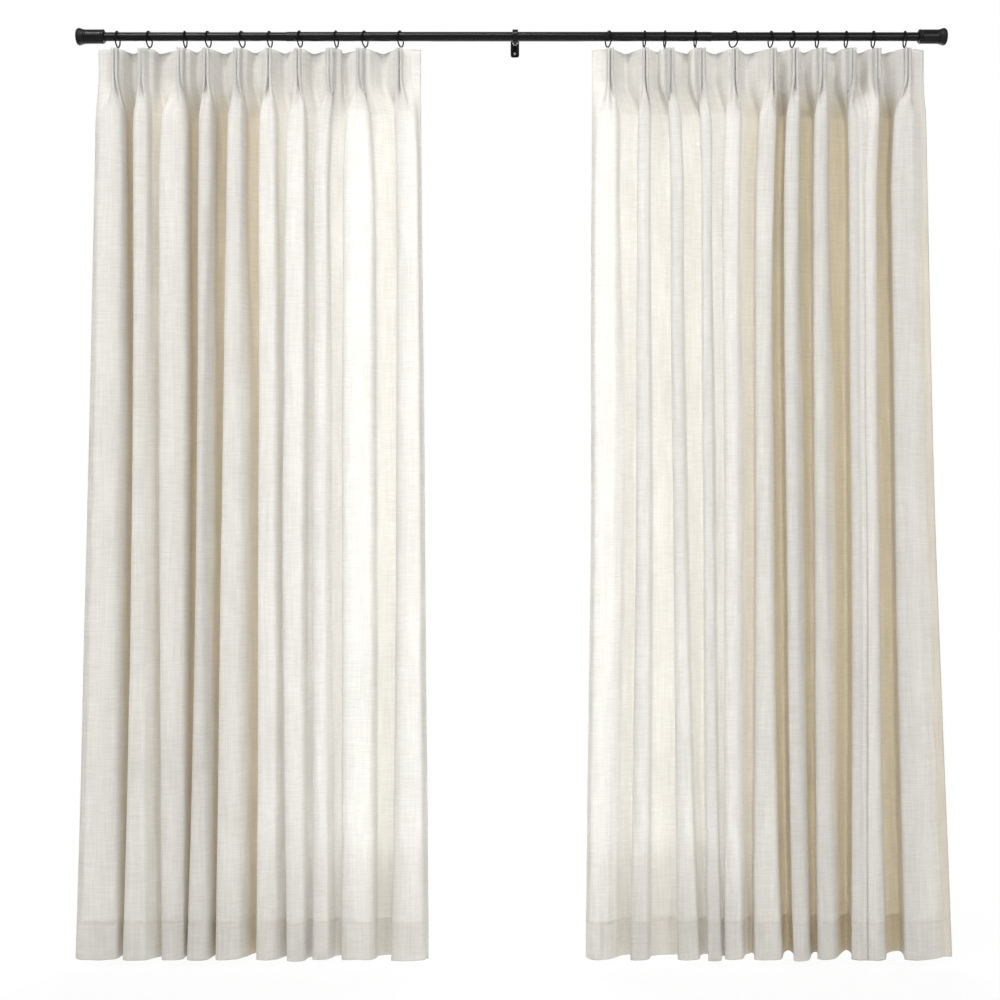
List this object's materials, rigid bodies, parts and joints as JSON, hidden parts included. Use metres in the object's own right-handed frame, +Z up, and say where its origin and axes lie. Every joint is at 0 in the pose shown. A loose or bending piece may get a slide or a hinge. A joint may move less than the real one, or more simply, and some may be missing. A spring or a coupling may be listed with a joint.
{
  "type": "window curtains on rod",
  "caption": "Pair of pinch-pleated linen curtain panels hung by rings and hooks on a black telescoping rod with screw-out end feet and a centre wall bracket.",
  "frame": {"origin": "on the back face of the centre bracket's wall plate, at the height of the rod's axis", "axes": "+X to the right along the rod seen from the room, +Y out of the room into the back wall, +Z up"},
  "size_m": [2.341, 0.1625, 2.5131],
  "materials": {
    "black_steel": "satin black powder coat",
    "bare_steel": "zinc plated wire and screws",
    "black_rubber": "matt moulded rubber",
    "black_plastic": "moulded",
    "linen": "semi-sheer slubbed plain weave"
  },
  "bodies": {
    "rod_and_bracket": {"centre_tube": "black_steel", "bracket_plate": "black_steel", "bracket_arm": "black_steel", "lower_wall_screw": "bare_steel", "upper_wall_screw": "bare_steel", "left_panel": "linen", "right_panel": "linen"},
    "left_tube": {"left_inner_tube": "black_steel", "left_end_plug": "black_plastic"},
    "left_collar": {"left_collar": "black_steel"},
    "left_foot": {"left_foot": "black_rubber", "left_spindle": "bare_steel"},
    "right_tube": {"right_inner_tube": "black_steel", "right_end_plug": "black_plastic"},
    "right_collar": {"right_collar": "black_steel"},
    "right_foot": {"right_foot": "black_rubber", "right_spindle": "bare_steel"},
    "clamp_screw": {"bracket_clamp_screw": "black_steel"},
    "left_ring_01": {"left_ring_01": "black_steel", "left_hook_01": "bare_steel"},
    "left_ring_02": {"left_ring_02": "black_steel", "left_hook_02": "bare_steel"},
    "left_ring_03": {"left_ring_03": "black_steel", "left_hook_03": "bare_steel"},
    "left_ring_04": {"left_ring_04": "black_steel", "left_hook_04": "bare_steel"},
    "left_ring_05": {"left_ring_05": "black_steel", "left_hook_05": "bare_steel"},
    "left_ring_06": {"left_ring_06": "black_steel", "left_hook_06": "bare_steel"},
    "left_ring_07": {"left_ring_07": "black_steel", "left_hook_07": "bare_steel"},
    "left_ring_08": {"left_ring_08": "black_steel", "left_hook_08": "bare_steel"},
    "left_ring_09": {"left_ring_09": "black_steel", "left_hook_09": "bare_steel"},
    "left_ring_10": {"left_ring_10": "black_steel", "left_hook_10": "bare_steel"},
    "right_ring_01": {"right_ring_01": "black_steel", "right_hook_01": "bare_steel"},
    "right_ring_02": {"right_ring_02": "black_steel", "right_hook_02": "bare_steel"},
    "right_ring_03": {"right_ring_03": "black_steel", "right_hook_03": "bare_steel"},
    "right_ring_04": {"right_ring_04": "black_steel", "right_hook_04": "bare_steel"},
    "right_ring_05": {"right_ring_05": "black_steel", "right_hook_05": "bare_steel"},
    "right_ring_06": {"right_ring_06": "black_steel", "right_hook_06": "bare_steel"},
    "right_ring_07": {"right_ring_07": "black_steel", "right_hook_07": "bare_steel"},
    "right_ring_08": {"right_ring_08": "black_steel", "right_hook_08": "bare_steel"},
    "right_ring_09": {"right_ring_09": "black_steel", "right_hook_09": "bare_steel"},
    "right_ring_10": {"right_ring_10": "black_steel", "right_hook_10": "bare_steel"},
    "right_ring_11": {"right_ring_11": "black_steel", "right_hook_11": "bare_steel"}
  },
  "joints": [
    {"name": "left_tube_extend", "type": "slide", "parent": "rod_and_bracket", "child": "left_tube", "axis": [-1, 0, 0], "range_m": [-0.01, 0.2]},
    {"name": "left_collar_turn", "type": "hinge", "parent": "left_tube", "child": "left_collar", "pos_m": [-1.105, -0.09, 0], "axis": [-1, 0, 0], "range_deg": [0, 1080]},
    {"name": "left_foot_push", "type": "slide", "parent": "left_tube", "child": "left_foot", "axis": [-1, 0, 0], "range_m": [0, 0.0121]},
    {"name": "right_tube_extend", "type": "slide", "parent": "rod_and_bracket", "child": "right_tube", "axis": [1, 0, 0], "range_m": [-0.01, 0.2]},
    {"name": "right_collar_turn", "type": "hinge", "parent": "right_tube", "child": "right_collar", "pos_m": [1.085, -0.09, 0], "axis": [1, 0, 0], "range_deg": [0, 1080]},
    {"name": "right_foot_push", "type": "slide", "parent": "right_tube", "child": "right_foot", "axis": [1, 0, 0], "range_m": [0, 0.0121]},
    {"name": "clamp_screw_turn", "type": "hinge", "parent": "rod_and_bracket", "child": "clamp_screw", "pos_m": [0, -0.09, -0.0155], "axis": [0, 0, 1], "range_deg": [0, 720]},
    {"name": "left_draw", "type": "slide", "parent": "rod_and_bracket", "child": "left_ring_10", "axis": [-1, 0, 0], "range_m": [0, 0.4668], "deforming": ["left_panel"]},
    {"name": "left_ring_01_slide", "type": "slide", "parent": "rod_and_bracket", "child": "left_ring_01", "axis": [-1, 0, 0], "range_m": [0, 0.0101]},
    {"name": "left_ring_02_slide", "type": "slide", "parent": "rod_and_bracket", "child": "left_ring_02", "axis": [-1, 0, 0], "range_m": [0, 0.0611]},
    {"name": "left_ring_03_slide", "type": "slide", "parent": "rod_and_bracket", "child": "left_ring_03", "axis": [-1, 0, 0], "range_m": [0, 0.1193]},
    {"name": "left_ring_04_slide", "type": "slide", "parent": "rod_and_bracket", "child": "left_ring_04", "axis": [-1, 0, 0], "range_m": [0, 0.1565]},
    {"name": "left_ring_05_slide", "type": "slide", "parent": "rod_and_bracket", "child": "left_ring_05", "axis": [-1, 0, 0], "range_m": [0, 0.2111]},
    {"name": "left_ring_06_slide", "type": "slide", "parent": "rod_and_bracket", "child": "left_ring_06", "axis": [-1, 0, 0], "range_m": [0, 0.2561]},
    {"name": "left_ring_07_slide", "type": "slide", "parent": "rod_and_bracket", "child": "left_ring_07", "axis": [-1, 0, 0], "range_m": [0, 0.3047]},
    {"name": "left_ring_08_slide", "type": "slide", "parent": "rod_and_bracket", "child": "left_ring_08", "axis": [-1, 0, 0], "range_m": [0, 0.3635]},
    {"name": "left_ring_09_slide", "type": "slide", "parent": "rod_and_bracket", "child": "left_ring_09", "axis": [-1, 0, 0], "range_m": [0, 0.4097]},
    {"name": "right_draw", "type": "slide", "parent": "rod_and_bracket", "child": "right_ring_11", "axis": [1, 0, 0], "range_m": [0, 0.4896], "deforming": ["right_panel"]},
    {"name": "right_ring_01_slide", "type": "slide", "parent": "rod_and_bracket", "child": "right_ring_01", "axis": [1, 0, 0], "range_m": [0, 0.0113]},
    {"name": "right_ring_02_slide", "type": "slide", "parent": "rod_and_bracket", "child": "right_ring_02", "axis": [1, 0, 0], "range_m": [0, 0.0623]},
    {"name": "right_ring_03_slide", "type": "slide", "parent": "rod_and_bracket", "child": "right_ring_03", "axis": [1, 0, 0], "range_m": [0, 0.1061]},
    {"name": "right_ring_04_slide", "type": "slide", "parent": "rod_and_bracket", "child": "right_ring_04", "axis": [1, 0, 0], "range_m": [0, 0.1529]},
    {"name": "right_ring_05_slide", "type": "slide", "parent": "rod_and_bracket", "child": "right_ring_05", "axis": [1, 0, 0], "range_m": [0, 0.1925]},
    {"name": "right_ring_06_slide", "type": "slide", "parent": "rod_and_bracket", "child": "right_ring_06", "axis": [1, 0, 0], "range_m": [0, 0.2279]},
    {"name": "right_ring_07_slide", "type": "slide", "parent": "rod_and_bracket", "child": "right_ring_07", "axis": [1, 0, 0], "range_m": [0, 0.2879]},
    {"name": "right_ring_08_slide", "type": "slide", "parent": "rod_and_bracket", "child": "right_ring_08", "axis": [1, 0, 0], "range_m": [0, 0.3497]},
    {"name": "right_ring_09_slide", "type": "slide", "parent": "rod_and_bracket", "child": "right_ring_09", "axis": [1, 0, 0], "range_m": [0, 0.3989]},
    {"name": "right_ring_10_slide", "type": "slide", "parent": "rod_and_bracket", "child": "right_ring_10", "axis": [1, 0, 0], "range_m": [0, 0.4319]}
  ],
  "couplings": [
    {"joint": "left_foot_push", "follows": "left_collar_turn", "m_per_rad": 0.00063662},
    {"joint": "right_foot_push", "follows": "right_collar_turn", "m_per_rad": 0.00063662},
    {"joint": "left_ring_01_slide", "follows": "left_draw", "ratio": 0.02057},
    {"joint": "left_ring_02_slide", "follows": "left_draw", "ratio": 0.12982},
    {"joint": "left_ring_03_slide", "follows": "left_draw", "ratio": 0.2545},
    {"joint": "left_ring_04_slide", "follows": "left_draw", "ratio": 0.33419},
    {"joint": "left_ring_05_slide", "follows": "left_draw", "ratio": 0.45116},
    {"joint": "left_ring_06_slide", "follows": "left_draw", "ratio": 0.54756},
    {"joint": "left_ring_07_slide", "follows": "left_draw", "ratio": 0.65167},
    {"joint": "left_ring_08_slide", "follows": "left_draw", "ratio": 0.77763},
    {"joint": "left_ring_09_slide", "follows": "left_draw", "ratio": 0.87661},
    {"joint": "right_ring_01_slide", "follows": "right_draw", "ratio": 0.02206},
    {"joint": "right_ring_02_slide", "follows": "right_draw", "ratio": 0.12623},
    {"joint": "right_ring_03_slide", "follows": "right_draw", "ratio": 0.21569},
    {"joint": "right_ring_04_slide", "follows": "right_draw", "ratio": 0.31127},
    {"joint": "right_ring_05_slide", "follows": "right_draw", "ratio": 0.39216},
    {"joint": "right_ring_06_slide", "follows": "right_draw", "ratio": 0.46446},
    {"joint": "right_ring_07_slide", "follows": "right_draw", "ratio": 0.58701},
    {"joint": "right_ring_08_slide", "follows": "right_draw", "ratio": 0.71324},
    {"joint": "right_ring_09_slide", "follows": "right_draw", "ratio": 0.81373},
    {"joint": "right_ring_10_slide", "follows": "right_draw", "ratio": 0.88113}
  ]
}
